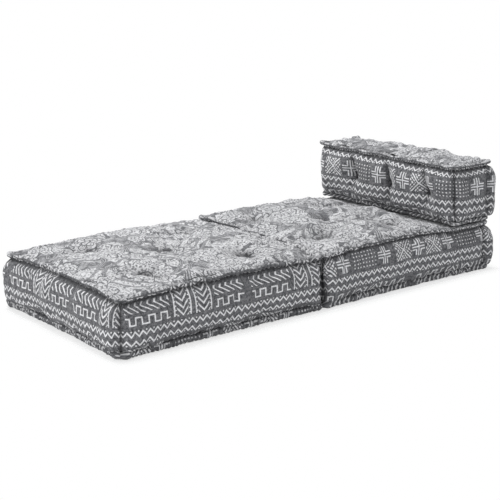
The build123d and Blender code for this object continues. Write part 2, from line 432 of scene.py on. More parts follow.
def crown_share(cushion, x, y):
    """How far the crowned top rises at a place, as a share of the crown."""
    start, end = cushion.low[0] + cushion.roll, cushion.free_end - cushion.roll
    along = 2 * (x - start) / (end - start) - 1
    across = (y - cushion.centre[1]) / (cushion.width / 2 - cushion.roll)
    rises = [1 - unit(abs(share)) ** crown_power for share in (along, across)]
    return rises[0] * rises[1]


def draw_to(heights, away, end, radius, pins):
    """Draws cloth in to the end of a twine, and pins it there."""
    heights -= (heights.flat[np.argmin(away)] - end) * fading(away, radius)
    pins[away < pinned_radius] = 1


def panel_grid(cushion, coarseness, facing, tuck):
    """Panel with its rim tucked in: the shares along and across it, and its places."""
    columns = round(cushion.length / panel_step) // coarseness + 1
    rows = round(cushion.width / panel_step) // coarseness + 1
    along = np.linspace(-1, 1, columns)[None, :]
    across = np.linspace(-facing, facing, rows)[:, None]
    x = cushion.centre[0] + along * (cushion.length / 2 - tuck) + 0 * across
    y = cushion.centre[1] + across * (cushion.width / 2 - tuck) + 0 * along
    return along, across, x, y


def top_grid(cushion):
    """Top panel: a crowned grid tucked into the upper roll, dimpled where a twine ends."""
    along, across, x, y = panel_grid(cushion, 1, 1, cushion.roll * 1.1)
    x -= side_draw * (1 - across ** 2) * along * (abs(along) > 0.99)
    y -= side_draw * (1 - along ** 2) * across ** 3
    sink = cushion.roll * 0.35
    z = cushion.high[2] - sink + lifted(cushion, x, y)
    z += (cushion.crown + sink) * crown_share(cushion, x, y)
    pins = np.zeros(z.shape)
    pins[[0, -1], :] = 1
    pins[:, [0, -1]] = 1
    if cushion.open_end is not None:
        pins[x > cushion.open_end - cushion.roll] = 1
    for _, middle, high in cushion.upright_twines:
        draw_to(z, np.hypot(x - middle[0], y - middle[1]), high[2], dimple_radius, pins)
    points = np.dstack([x, y, z])
    return lean_over(cushion, points), points[..., :2] - cushion.centre[:2], pins


def bottom_grid(cushion):
    """Bottom panel: a flat grid tucked into the lower roll, dimpled at the twines."""
    along, across, x, y = panel_grid(cushion, 2, -1, cushion.roll * 1.3)
    rim = np.maximum(abs(along), abs(across))
    z = cushion.low[2] + cushion.roll * (0.1 + 0.3 * rim ** 30)
    for low, middle, _ in cushion.upright_twines:
        away = np.hypot(x - middle[0], y - middle[1])
        z += (low[2] - cushion.low[2]) * fading(away, dimple_radius)
    points = np.dstack([x, y, z])
    return lean_over(cushion, points), points[..., :2] - cushion.centre[:2]


def swelling(level, skew):
    """How far a wall swells at a height, as a share; a skew under one sags it."""
    return 1 - abs(2 * level ** skew - 1) ** bulge_power


def wall_profile(cushion):
    """Heights of a wall's rows, how far each swells as a share, and its place on the cloth."""
    level = np.linspace(0, 1, wall_rows)
    level = (level + 0.5 - 0.5 * np.cos(pi * level)) / 2
    swell = swelling(level, cushion.skews[0])
    first = cushion.low[2] + cushion.roll * 1.2
    last = cushion.high[2] - cushion.roll * 1.2
    heights = first + (last - first) * level
    step = np.hypot(np.diff(heights), np.diff(swell) * (wall_bulge + groove_inset))
    cloth_height = np.append(0, np.cumsum(step))
    return level, heights, swell, cloth_height + (cushion.height - cloth_height[-1]) / 2


def softened(values, reach):
    """Values round the footprint, each made the mean of those within the reach."""
    return np.mean([np.roll(values, step) for step in range(-reach, reach + 1)], axis=0)


def wall_grid(cushion):
    """Side walls: one closed band from the lower roll to the upper one.

    Also gives how firmly each point is held, and where each side begins on the cloth.
    """
    places = perimeter(cushion, wall_step, corner_crowding)
    side, along, length = places
    level, heights, swell, cloth_height = wall_profile(cushion)
    bulge = cushion.bulges[side]
    bulge = np.where(bulge > 0, softened(bulge, 2), 0)
    skew = softened(cushion.skews[side], 3)
    # The near seam at the head of the seat and of the back lies on their near side
    lead = 0 if cushion is foot else seam_lead
    to_seam = np.where(
        along < length / 2, along + lead * (side == 1), abs(length - along - lead * (side == 0))
    )
    seam = bell(to_seam, seam_width)
    points, flat = [], []
    for row in range(wall_rows):
        rounding = seam_round + (corner_round - seam_round) * swell[row]
        push = (bulge + groove_inset) * swelling(level[row], skew)
        push = push - seam_groove * seam * (0.4 + 0.6 * swell[row])
        push = push - draw_in(cushion, places) * (1 - 0.7 * swell[row])
        edge, _ = outline(cushion, places, groove_inset, rounding, push)
        rise = lifted(cushion, *edge.T) * level[row]
        points.append(np.column_stack([edge, heights[row] + rise]))
        flat.append(cloth_height[row] + rise)
    points = np.array(points)
    middle = points[wall_rows // 2, :, :2]
    stride = np.linalg.norm(np.roll(middle, -1, axis=0) - middle, axis=1)
    run = np.append(0, np.cumsum(stride))
    starts = [run[np.argmax(side == index)] for index in range(4)] + [run[-1]]
    if lead:
        starts[1] = run[np.argmin(np.where((side == 0) & (along > length / 2), to_seam, np.inf))]
    flat = np.array(flat)
    flat = np.concatenate([flat, flat[:, :1]], axis=1)
    flat = np.dstack([np.broadcast_to(run, flat.shape), flat])
    pins = np.zeros((wall_rows, len(side)))
    pins[[0, -1], :] = 1
    pins = np.maximum(pins, unit(seam * 1.2))
    for low, middle, high in cushion.level_twines:
        for end, end_side in ((low[0], 3), (high[0], 1)):
            away = np.hypot(points[..., 1] - middle[1], points[..., 2] - middle[2])
            away = np.where(side == end_side, away, 1)
            draw_to(points[..., 0], away, end, back_dimple_radius, pins)
    return lean_over(cushion, points), flat, pins, starts


class Roll:
    """Rolled edge: a closed tube, pinched at its stitches and pulled out at the corners."""

    def __init__(self, cushion, upper):
        self.cushion = cushion
        self.upper = upper
        on_floor = not upper and cushion is not back
        self.radius = cushion.roll * (lower_roll_share if on_floor else upper_roll_share)
        self.places = perimeter(cushion, roll_step)
        side, along, length = self.places
        start = np.append(0, np.cumsum(cushion.side_lengths))
        self.run = start[side] + along
        self.seed = sum(map(ord, cushion.name)) + upper
        count = round(start[-1] / pucker_pitch)
        beat = self.run / start[-1] * count * tau
        beat += 0.6 * ripples(self.run, 0, 0.06, self.seed)
        self.pinch = 0.5 + 0.5 * np.cos(beat)
        self.ears = bell(np.minimum(along, length - along), ear_length)
        calm = 1 - self.ears
        push = self.ears * ear_reach - draw_in(cushion, self.places)
        push += roll_wander * ripples(self.run, 0, 0.08, self.seed + 5) * calm
        if on_floor:
            push += lower_roll_push * ~np.isin(side, cushion.flat_sides)
        self.centre, self.facing = outline(
            cushion, self.places, self.radius, seam_round * 0.7, push
        )
        self.level = np.full(len(self.run), cushion.low[2] + self.radius)
        if upper:
            self.level = cushion.high[2] - self.radius + lifted(cushion, *self.centre.T)
            self.level += roll_wander * ripples(self.run, 0, 0.07, self.seed + 9) * calm
            self.level += ear_rise * self.ears

    def surface(self, turn, proud=0.0):
        """Points along the roll at one turn round it, from its outer side upwards."""
        inner = 0.5 + 0.5 * cos(turn + (pi * 0.75 if self.upper else -pi * 0.75))
        depth = pinch_share * self.pinch ** 3 * (0.6 + inner) + ear_thinning * self.ears
        depth = self.radius * (1 - depth)
        rough = ripples(self.run, turn * self.radius, 0.016, self.seed + 3)
        depth = depth + roll_roughness * rough + proud
        ring = self.centre + self.facing * (depth * cos(turn))[:, None]
        rise = self.level + depth * sin(turn)
        if not self.upper:
            rise = np.maximum(rise, self.cushion.low[2])
        return lean_over(self.cushion, np.column_stack([ring, rise]))


def roll_cover(name, roll, shifts, scales):
    """Cover of a roll, banded and with the top's cloth over an upper one, where it is marked, and
    with painted shade in the groove by its wall and in its pinches.

    The print of each side has its own shift and scale.
    """
    cushion = roll.cushion
    side, along, _ = roll.places
    turns = np.linspace(-pi, pi, roll_rows, endpoint=False)
    points = np.array([roll.surface(turn) for turn in turns])
    row, column, corners = lattice(*points.shape[:2], True, True)
    points = points.reshape(-1, 3)
    next_along = np.append(along[1:], 0)
    next_along = np.where(next_along < along, cushion.side_lengths[side], next_along)
    first = column[:, 0]
    u = np.stack([along, next_along, next_along, along])
    u = (u * np.array(scales)[side] + np.array(shifts)[side]).T[first]
    ring = np.append(turns, pi)[row]
    cloth_height = wall_profile(cushion)[-1]
    if roll.upper:
        rise = lifted(cushion, *roll.centre.T)[first]
        v = cloth_height[-1] + rise[:, None] + (ring - roll_meets_wall) * cushion.roll
    else:
        v = cloth_height[0] + (ring + roll_meets_wall) * cushion.roll
    middle = ring.mean(axis=1)
    above = ((middle > banded_to) | (middle < banded_from)) & roll.upper
    over = points[corners][..., :2] - cushion.centre[:2]
    flat = np.where(above[:, None, None], over, np.dstack([u, v]))
    piece = new_piece(name, points, corners, flat)
    # Painted shade in the groove where the roll meets the wall, and in its pinches
    groove = bell(turns + (groove_shade_turn if roll.upper else -groove_shade_turn), groove_shade_span)
    paint_fold_shade(piece.data, (0.8 * groove[:, None] + 0.5 * roll.pinch ** 4).ravel())
    return piece, above


def stitches(name, roll):
    """Threads that lie along the outer groove of a roll, one at each pinch."""
    pinched = (roll.pinch > np.roll(roll.pinch, 1)) & (roll.pinch >= np.roll(roll.pinch, -1))
    at = np.flatnonzero(pinched & (roll.ears < 0.05))
    turn = -stitch_turn if roll.upper else stitch_turn
    line = roll.surface(turn, stitch_thickness * 0.15)
    before, here, after = (line[(at + step) % len(line)][:, None] for step in (-1, 0, 1))
    along = (after - before) / 2
    up = np.column_stack([roll.facing * cos(turn), np.full(len(line), sin(turn))])
    up = up[at][:, None]
    side = np.cross(along / np.linalg.norm(along, axis=-1, keepdims=True), up)
    reach, width, sink = (np.array(shape)[:, None] for shape in stitch_shape)
    middle = here + along * reach + up * sink * stitch_thickness
    angle = tau * np.arange(stitch_sides)[:, None] / stitch_sides
    spoke = (side * np.cos(angle) + up * np.sin(angle))[:, None]
    points = middle[:, :, None] + spoke * width[:, None] * stitch_thickness / 2
    _, _, corners = lattice(len(reach), stitch_sides, wrap_columns=True)
    base = np.arange(len(at)) * len(reach) * stitch_sides
    faces = (base[:, None, None] + corners).reshape(-1, 4)
    points = points.reshape(-1, 3)
    return new_piece(name, points, faces, points[faces][..., :2])


def filling_grid(cushion):
    """Filling: a closed lump of cotton a little inside the cover."""
    half = (cushion.high - cushion.low) / 2 - cushion.roll * 1.6
    half -= hollow_tops if cushion.upright_twines else hollow_sides
    rows, columns = 24, 64
    rise = np.linspace(-pi / 2, pi / 2, rows)[:, None]
    turn = np.linspace(0, tau, columns, endpoint=False)

    def squared(value):
        return np.sign(value) * abs(value) ** 0.25

    ring = squared(np.cos(rise))
    shape = (ring * squared(np.cos(turn)), ring * squared(np.sin(turn)))
    shape = np.dstack([*shape, squared(np.sin(rise)) + 0 * turn])
    flat = np.dstack(np.meshgrid(np.linspace(0, 1, columns + 1), np.linspace(0, 1, rows)))
    return half * shape * 0.96 + cushion.centre, flat


def settle(pads):
    """Lets the panels swell as stuffed cloth between their pinned seams and tufts."""
    scene.frame_start, scene.frame_end = 1, settle_frames
    before = []
    for piece, pins in pads:
        group = piece.vertex_groups.new(name="pinned")
        for index, weight in enumerate(pins.ravel()):
            if weight > 0:
                group.add([index], float(weight), "REPLACE")
        cloth = piece.modifiers.new("settle", "CLOTH")
        for key, value in cloth_settings.items():
            setattr(cloth.settings, key, value)
        cloth.settings.effector_weights.gravity = 0
        cloth.collision_settings.use_collision = False
        cloth.point_cache.frame_start = 1
        cloth.point_cache.frame_end = settle_frames
        before.append(read(piece.data.vertices, "co"))
    for number in range(1, settle_frames + 1):
        scene.frame_set(number)
    graph = bpy.context.evaluated_depsgraph_get()
    for (piece, pins), start in zip(pads, before):
        swollen = piece.evaluated_get(graph).to_mesh()
        shift = read(swollen.vertices, "co") - start
        piece.evaluated_get(graph).to_mesh_clear()
        reach = np.linalg.norm(shift, axis=1, keepdims=True)
        shift *= np.minimum(1, cloth_cap / np.maximum(reach, 1e-9))
        piece.modifiers.clear()
        piece.vertex_groups.clear()
        move_points(piece.data, start + shift)
    scene.frame_set(1)


def smooth_out(piece, levels):
    """Subdivides a settled panel."""
    rounding = piece.modifiers.new("rounding", "SUBSURF")
    rounding.levels = levels
    rounding.uv_smooth = "NONE"
    graph = bpy.context.evaluated_depsgraph_get()
    made = bpy.data.meshes.new_from_object(piece.evaluated_get(graph))
    piece.modifiers.clear()
    piece.data = made


def loop_places(mesh):
    """Place on the flat cloth of each corner of each face."""
    return read(mesh.uv_layers["cloth"].data, "uv", 2)


def point_places(mesh):
    """Places on the flat cloth along and up of each point of a mesh."""
    owner = read(mesh.loops, "vertex_index", 1)[:, 0].astype(int)
    places = np.zeros((len(mesh.vertices), 2))
    places[owner] = loop_places(mesh)
    return places.T


def uneven(run, u, v, from_roll, seed, unevenness):
    """Puckers beside the rolls, and how far these, the wrinkles and the sags lift the cloth."""
    long, deep, reach, fine, coarse, upright, sag = unevenness
    pucker = np.cos(tau * run / long + pucker_bend * ripples(u, v, 0.05, seed))
    lift = deep * pucker * fading(from_roll, reach)
    lift += wrinkle_depth * ripples(u, v * upright, fine, seed + 1)
    return pucker, lift + sag * ripples(u, v, coarse, seed + 2)


def wrinkle_wall(cushion, piece, starts, seed):
    """Puckers that run from both rolls into a wall, soft wrinkles over all of it, and painted shade
    at its seams, along its rolls, in its pucker troughs and in the back's creases.
    """
    mesh = piece.data
    run, height = point_places(mesh)
    points, normals = read(mesh.vertices, "co"), read(mesh.vertices, "normal")
    top = cushion.height - cushion.roll + lifted(cushion, points[:, 0], points[:, 1])
    to_roll = np.minimum(height - cushion.roll, top - height)
    from_roll = unit(to_roll)
    held = 1 - fading(unit(to_roll - wall_hem), wall_held)
    pucker, lift = uneven(run, run, height, from_roll, seed, wall_unevenness)
    points += normals * (lift * held)[:, None]
    beside_joint = [
        bool({index % 4, (index + 3) % 4} & set(cushion.flat_sides)) for index in range(5)
    ]
    reaches = np.where(beside_joint, joint_painted_shade, seam_painted_shade)
    to_seam = np.min([abs(run - at) / reach for at, reach in zip(starts, reaches)], axis=0)
    # Painted shade: dark at the corner seams, along the rolls and in the troughs of the puckers
    painted_shade = bell(to_seam, 1) + 0.8 * fading(from_roll, wall_roll_painted_shade)
    painted_shade += 0.35 * unit(-pucker) * fading(from_roll, wall_pucker_reach)
    if cushion.level_twines:
        painted_shade += crease_tufts(cushion, points, normals, held)
    move_points(mesh, points)
    paint_fold_shade(mesh, painted_shade)


def crease_place(middle, points):
    """Distance across the crease of a tuft, and how strong the crease is at each height."""
    rise = points[..., 2] - middle[2]
    slant = np.where(rise > 0, crease_slant, -crease_slant / 3)
    across = points[..., 1] - middle[1] - slant * rise
    fall = np.where(rise > 0, 1 - 3 * rise, fading(np.maximum(-rise, 0), crease_length))
    return across, unit(fall)


def crease_tufts(cushion, points, normals, held):
    """Creases the back block's walls up and down from each tuft, with pillows between them.

    Gives how much painted shade each point takes in the creases and pits.
    """
    places = [middle for _, middle, _ in cushion.level_twines]
    shift, depth = np.zeros((2, len(points)))
    for middle in places:
        across, fall = crease_place(middle, points)
        sharp = bell(across, crease_width)
        line = 0.65 * sharp + 0.35 * fading(abs(across), crease_slope)
        pit = bell(np.hypot(points[:, 1] - middle[1], points[:, 2] - middle[2]), pit_radius)
        shift += crease_depth * line * fall + pit_depth * pit
        # Painted shade, darkest in the pits and along the sharp part of each crease
        depth += 1.3 * pit + 0.6 * sharp * fall
    gap = np.min([abs(points[:, 1] - middle[1]) for middle in places], axis=0) / pillow_reach
    shift -= pillow_rise * unit(gap) * unit(1.6 - gap)
    flat_on = unit(abs(normals[:, 0]) * 2 - 0.8) * held
    points[:, 0] -= np.sign(normals[:, 0]) * shift * flat_on
    return depth * held


def wrinkle_top(cushion, piece, seed):
    """Puckers along the edge of a top panel, creases that run out from its tufts, and painted shade
    along its rolls, in the creases, at the tufts and at the joint.
    """
    mesh = piece.data
    along, across = point_places(mesh)
    points, normals = read(mesh.vertices, "co"), read(mesh.vertices, "normal")
    to_end = cushion.length / 2 - cushion.roll - abs(along)
    to_side = cushion.width / 2 - cushion.roll - abs(across)
    to_roll = unit(np.minimum(to_end, to_side))
    run = np.where(to_end < to_side, across, along)
    held = 1 - fading(to_roll, top_held)
    _, lift = uneven(run, along, across, to_roll, seed, top_unevenness)
    # Painted shade along the rolls
    painted_shade = 0.7 * fading(to_roll, top_roll_painted_shade)
    chance = np.random.default_rng(seed)
    bend = fold_bend * ripples(along, across, 0.09, seed + 3)
    for _, middle, _ in cushion.upright_twines:
        x, y = points[:, 0] - middle[0], points[:, 1] - middle[1]
        away = np.hypot(x, y)
        pulled = np.zeros(len(points))
        for turn in np.arange(fold_count) * tau / fold_count:
            turn += chance.uniform(-0.4, 0.4)
            reach = fold_reach * chance.uniform(0.6, 1.3)
            out = x * cos(turn) + y * sin(turn)
            off = abs(y * cos(turn) - x * sin(turn) + bend)
            line = fading(off, fold_width * (1 + unit(out) / fold_reach))
            line = line * unit(1 - out / reach) * (out > 0)
            pulled = np.maximum(pulled, line)
            # Painted shade along the crease
            painted_shade += 0.8 * line ** 1.4
        lift -= fold_depth * pulled * (1 - unfolded_share * bell(away, unfolded_radius))
        # Painted shade round the middle of the tuft
        painted_shade += bell(away, tuft_painted_shade_radius)
    # Painted shade along the gap where the foot meets the seat, strongest on its near side, and a
    # dip there
    if cushion.flat_sides.size:
        to_joint = abs(points[:, 0] - cushion.joint)
        beside = (points[:, 1] - cushion.low[1]) / joint_shade_length
        painted_shade += bell(to_joint, joint_shade_width) * np.exp(-beside ** 4)
        lift -= joint_dip * fading(to_joint, joint_slope)
    if cushion.open_end is not None:
        lift = np.where(points[:, 0] > cushion.open_end - cushion.roll, 0, lift)
    move_points(mesh, points + normals * (lift * held)[:, None])
    paint_fold_shade(mesh, painted_shade)


def split_wall(cushion, piece, starts, shifts, scales):
    """Cuts the band of walls into its four panels, each with its print shifted and scaled."""
    mesh = piece.data
    points = read(mesh.vertices, "co")
    # The painted shade of each point, kept on the cut panels
    painted_shade = read(mesh.attributes["fold"].data, "value", 1)[:, 0]
    corner = loop_places(mesh).reshape(-1, 4, 2)
    polygons = np.array([face.vertices[:] for face in mesh.polygons])
    middle = corner[..., 0].mean(axis=1)
    panels = []
    for index, name in enumerate(cushion.sides):
        chosen = (middle >= starts[index]) & (middle < starts[index + 1])
        used, fresh = np.unique(polygons[chosen], return_inverse=True)
        flat = corner[chosen]
        # A near side that is cut short at its head keeps its print where it was
        spare = starts[index + 1] - starts[index] - cushion.side_lengths[index]
        spare = 0 if cushion is not foot and index == 0 else spare
        flat[..., 0] = (flat[..., 0] - starts[index] - spare / 2) * scales[index] + shifts[index]
        if index in (1, 3):
            heading = 1 if index == 1 else -1
            for _, middle_place, _ in cushion.level_twines:
                across, _ = crease_place(middle_place, points[polygons[chosen]])
                passed = 0.5 + 0.5 * np.tanh(heading * across / crease_width)
                flat[..., 0] += crease_cloth * passed
        panel = new_piece(f"{cushion.name}_{name}_cover", points[used], fresh.reshape(-1, 4), flat)
        paint_fold_shade(panel.data, painted_shade[used])
        panels.append(panel)
    bpy.data.objects.remove(piece)
    return panels


# Materials

def clean_tree(owner):
    """Empty node tree of a new material or world."""
    owner.use_nodes = True
    owner.node_tree.nodes.clear()
    return owner.node_tree


def add_node(tree, kind, inputs=(), **settings):
    """New node with its settings, its inputs linked to outputs or set to plain values."""
    node = tree.nodes.new(kind)
    for key, value in settings.items():
        setattr(node, key, value)
    for key, value in dict(inputs).items():
        if isinstance(value, bpy.types.Node):
            value = value.outputs[0]
        value = getattr(value, "output", value)
        if isinstance(value, bpy.types.NodeSocket):
            tree.links.new(value, node.inputs[key])
        else:
            node.inputs[key].default_value = value
    return node


def method(operation):
    """Method of a field that combines it with others in one way of a math node."""
    return lambda field, *others: field.combine(operation, *others)


class Field:
    """A number that varies over the cloth: one output in a node tree, with arithmetic."""

    def __init__(self, output):
        self.output = output

    def combine(self, operation, *others, limit=False):
        return Field(add_node(
            self.output.id_data, "ShaderNodeMath", enumerate((self, *others)),
            operation=operation, use_clamp=limit,
        ).outputs[0])

    __add__, __sub__, __mul__ = map(method, ("ADD", "SUBTRACT", "MULTIPLY"))
    size, least, most = map(method, ("ABSOLUTE", "MINIMUM", "MAXIMUM"))
    sine, cosine, angle = map(method, ("SINE", "COSINE", "ARCTAN2"))
    # The field folded into one period, from zero
    repeat = method("FLOORED_MODULO")

    def limited(self):
        return self.combine("ADD", 0.0, limit=True)

    def inverse(self):
        return self * -1 + 1

    def off(self, middle):
        """Distance from a value."""
        return (self - middle).size()

    def nearest(self, period):
        """Distance to the nearest whole multiple of the period."""
        return self.combine("PINGPONG", period / 2)

    def within(self, limit, soft=0.0006):
        """One where the field is under the limit, zero above it, with a soft edge."""
        return (self * (-1 / soft) + (limit / soft + 0.5)).limited()

    def between(self, low, high):
        """One in a stretch, zero outside it, with a soft edge."""
        return (self.off((low + high) / 2) - (high - low) / 2).within(0.0)

    def length(self, other):
        return (self * self + other * other).combine("SQRT")


def noise(place, scale, detail=2.0, roughness=0.5):
    return add_node(place.id_data, "ShaderNodeTexNoise", {
        "Vector": place, "Scale": scale, "Detail": detail, "Roughness": roughness,
    })


def noise_field(*settings):
    return Field(noise(*settings).outputs["Fac"])


def vector_math(operation, place, *others):
    return add_node(
        place.id_data, "ShaderNodeVectorMath", enumerate((place, *others)), operation=operation
    ).outputs[0]


def axes(place):
    split = add_node(place.id_data, "ShaderNodeSeparateXYZ", {0: place})
    return Field(split.outputs["X"]), Field(split.outputs["Y"])


def scattered(place, pitch, randomness=1.0):
    """Points scattered over the cloth: place from the nearest one, and that one's own number."""
    node = add_node(
        place.id_data, "ShaderNodeTexVoronoi",
        {"Vector": place, "Scale": 1 / pitch, "Randomness": randomness}, voronoi_dimensions="2D",
    )
    x, y = axes(vector_math("SUBTRACT", place, node.outputs["Position"]))
    split = add_node(place.id_data, "ShaderNodeSeparateColor", {0: node.outputs["Color"]})
    return x, y, Field(split.outputs[0])


def dots(place, pitch, radius, soft):
    """Round dots scattered over the cloth."""
    x, y, _ = scattered(place, pitch)
    return x.length(y).within(radius, soft)


def moved(place, *shift):
    """The flat place moved by a fixed shift."""
    return vector_math("ADD", place, (*shift, 0))


def wavered(place, scale, amount):
    """The flat place moved a little by noise, so that a print looks cut and stamped by hand."""
    centred = vector_math("SUBTRACT", noise(place, scale, 1.0).outputs["Color"], (0.5, 0.5, 0.5))
    return vector_math("MULTIPLY_ADD", centred, (amount, amount, 0), place)


def ramp(factor, low, high):
    """Colour between two colours by a factor."""
    inputs = {"Factor": factor, 6: low, 7: high}
    node = add_node(factor.output.id_data, "ShaderNodeMix", inputs, data_type="RGBA")
    return node.outputs[2]


# How much of the painted shade's colour the cloth takes on deep in its folds, seams, creases and
# tufts
painted_shade_share = 0.8
painted_shade_colour = (0.016, 0.016, 0.018, 1)

thread_pitch = 0.0016

# Colours of the dyed cloth and of its print
ground = (0.215, 0.216, 0.225, 1)
ground_dark = (0.054, 0.055, 0.060, 1)
print_pale = (0.90, 0.90, 0.91, 1)
print_worn = (0.68, 0.68, 0.69, 1)

# Rows of the banded cloth, measured along it from the middle of the band of crosses
stroke = 0.0020
zigzag_rows = (0.0455, 0.0685)
zigzag_period = 0.0222
zigzag_height = 0.0120
dot_rows = (0.0400, 0.0755)
dot_size = 0.0022
meander_row = 0.100
meander_half = 0.0093
meander_period = 0.0370
chevron_row = 0.136
chevron_half = 0.0150
chevron_period = 0.0194
chevron_bend = 0.0055
chevron_slopes = (0.42, 1.3)
chevron_lean = 0.72
column_low = 0.087
column_high = 0.186
column_width = 0.054
column_starts = (0.0, 0.066)
column_margin = 0.012
tick_pitch = 0.0116
tick_half = 0.0016
tick_start = 0.0195
block_period = 0.404
block_gap = (0.228, 0.256)
vee_period = 0.0180
vee_slope = 1.07
vee_lean = 0.68
vee_reach = 0.0175
vee_stroke = stroke * 1.05
dash_row = 0.171
dash_period = 0.036
dash_length = 0.023
cross_period = 0.444
cross_places = (0.0, 0.165, 0.312)
hatch_places = (0.246, 0.377)
grid_start = 0.038
grid_end = 0.128
grid_pitch = 0.0115
cross_reach = 0.026
bracket_place = 0.0085
rung_places = (0.0080, 0.0160)
rung_pitch = 0.0115
rung_gap = 0.0037
hatch_reach = 0.034
band_half = 0.030
# Where the first cross lies from the first column of the block, along the cloth
cross_from_block = -0.042


def cloth(name, draw, grounds, prints, printed=True):
    """New material: a melange ground under a worn print, darkened by painted shade in its folds,
    with the bump of weave and thread.

    The print is drawn over the flat cloth or, on plain pieces, over the piece itself.
    """
    material = bpy.data.materials.new(name)
    tree = clean_tree(material)
    place = add_node(tree, "ShaderNodeTexCoord").outputs["Object"]
    if printed:
        place = add_node(tree, "ShaderNodeUVMap", uv_map="cloth").outputs[0]
    fibre = noise_field(place, 300.0, 3.0, 0.75)
    slub = noise_field(place, 120.0, 2.0, 0.6)
    blotch = noise_field(place, 24.0, 3.0)
    heather = (fibre - 0.5) * 3.0 + (slub - 0.5) * 2.6 + (blotch - 0.5) * 0.6 + 0.5
    heather = heather.limited()
    worn = draw(place) * ((fibre - 0.5) * 1.2 + (blotch - 0.5) * 0.4 + 0.95).limited()
    colour = ramp(worn, ramp(heather, *grounds), ramp(heather, *prints))
    # Painted shade: the colour darkens towards the shade colour by the fold attribute
    painted_shade_attribute = add_node(tree, "ShaderNodeAttribute", attribute_name="fold")
    colour = ramp(Field(painted_shade_attribute.outputs["Fac"]) * painted_shade_share, colour, painted_shade_colour)
    u, v = (axis * (tau / thread_pitch) for axis in axes(place))
    height = u.sine() * v.sine() * 0.25 + fibre * 0.9
    bump = {"Strength": 0.5, "Distance": 0.0008, "Height": height}
    shader = add_node(tree, "ShaderNodeBsdfPrincipled", {
        "Base Color": colour, "Roughness": 0.9, "Specular IOR Level": 0.25,
        "Sheen Weight": 0.12, "Sheen Roughness": 0.5,
        "Normal": add_node(tree, "ShaderNodeBump", bump),
    })
    add_node(tree, "ShaderNodeOutputMaterial", {"Surface": shader})
    return material


def crossing(x, y, reach):
    """Distance to a cross of a given reach with brackets in its quarters."""
    thin, wide = x.least(y), x.most(y)
    arms = thin.most(wide - reach)
    bracket = thin.off(bracket_place).most(wide.off(reach * 0.62) - reach * 0.34)
    return arms.least(bracket)


def banded_print(place, row_zero, row_sign):
    """Print of the banded cloth: crosses, hatches, dots, zigzags, meanders and chevrons."""
    u, v = axes(place)
    w = (v - row_zero) * row_sign
    far = w.size()
    fold = u.nearest(zigzag_period)
    wave = fold - zigzag_period / 4
    slope = zigzag_height / (zigzag_period / 2)
    lean = cos(atan(slope))
    first, second = ((far - row - wave * slope).size() * lean for row in zigzag_rows)
    mask = first.least(second).within(stroke)
    other = (u - zigzag_period / 2).nearest(zigzag_period)
    beads = other.length(far - dot_rows[0]).least(fold.length(far - dot_rows[1]))
    mask = mask.most(beads.within(dot_size))

    place = (u - cross_from_block).repeat(cross_period)
    nearest_cross = place.nearest(cross_period)
    for middle in cross_places[1:]:
        nearest_cross = nearest_cross.least(place.off(middle))
    nearest_hatch = place.off(hatch_places[0]).least(place.off(hatch_places[1]))
    cross = crossing(nearest_cross, far, cross_reach).within(stroke)
    slash = (nearest_hatch + far) * sqrt(0.5)
    back_slash = nearest_hatch.off(far) * sqrt(0.5)
    thin, wide = slash.least(back_slash), slash.most(back_slash)
    rungs = thin.off(rung_places[0]).least(thin.off(rung_places[1]))
    rungs = rungs.most(wide.nearest(rung_pitch) * -1 + rung_gap)
    hatch = thin.least(rungs).within(stroke) * nearest_hatch.within(hatch_reach)
    grid = place.nearest(grid_pitch).length(w.nearest(grid_pitch)).within(dot_size)
    band = (cross * nearest_cross.within(cross_reach)).most(hatch)
    band = band.most(grid * place.between(grid_start, grid_end))
    mask = mask.most(band * far.within(band_half))

    block = u.repeat(block_period)
    from_row = w - meander_row
    edge = block.nearest(meander_period) - meander_period / 4
    rise = edge.size().most(from_row.size() - meander_half)
    upper = from_row.off(meander_half).most(edge)
    lower = from_row.off(-meander_half).most(edge * -1)
    meander = rise.least(upper).least(lower).within(stroke)
    bend = w - (chevron_row + chevron_bend)
    bend = (bend * chevron_slopes[0]).most(bend * -chevron_slopes[1])
    chevron = ((block - bend).nearest(chevron_period) * chevron_lean).within(stroke)
    chevron = chevron * w.off(chevron_row).within(chevron_half)
    column_end = column_starts[1] + column_width + column_margin
    clear = block.between(-column_margin, column_end).inverse()
    clear = clear * block.between(block_period - column_margin, block_period).inverse()
    rows = meander.most(chevron) * clear * block.between(*block_gap).inverse()
    across, other = (block.off(start + column_width / 2) for start in column_starts)
    across = across.least(other)
    border = across.off(column_width / 2 - stroke).within(stroke)
    tick = w.nearest(tick_pitch).within(tick_half) * across.between(tick_start, column_width / 2)
    vee = ((w - across * vee_slope).nearest(vee_period) * vee_lean).within(vee_stroke)
    vee = vee * across.within(vee_reach)
    columns = border.most(tick).most(vee) * w.between(column_low, column_high)
    dashes = w.off(dash_row).within(stroke) * u.repeat(dash_period).between(0.0, dash_length)
    return mask.most(rows).most(columns).most(dashes * clear)


# Colours and sizes of the floral print
floral_ground = (0.095, 0.096, 0.102, 1)
floral_ground_pale = (0.215, 0.217, 0.226, 1)
floral_worn = (0.53, 0.53, 0.54, 1)
floral_pale = (0.73, 0.73, 0.74, 1)
fine_line = 0.0022
stem_long = 0.34
stem_wide = 0.27
# Pitch, half length, half width and shift of each kind of leaf
leaf_kinds = (
    (0.044, 0.0275, 0.0100, (0, 0)),
    (0.031, 0.0195, 0.0070, (0.4, 0.3)),
    (0.021, 0.0130, 0.0048, (0.9, 0.1)),
)


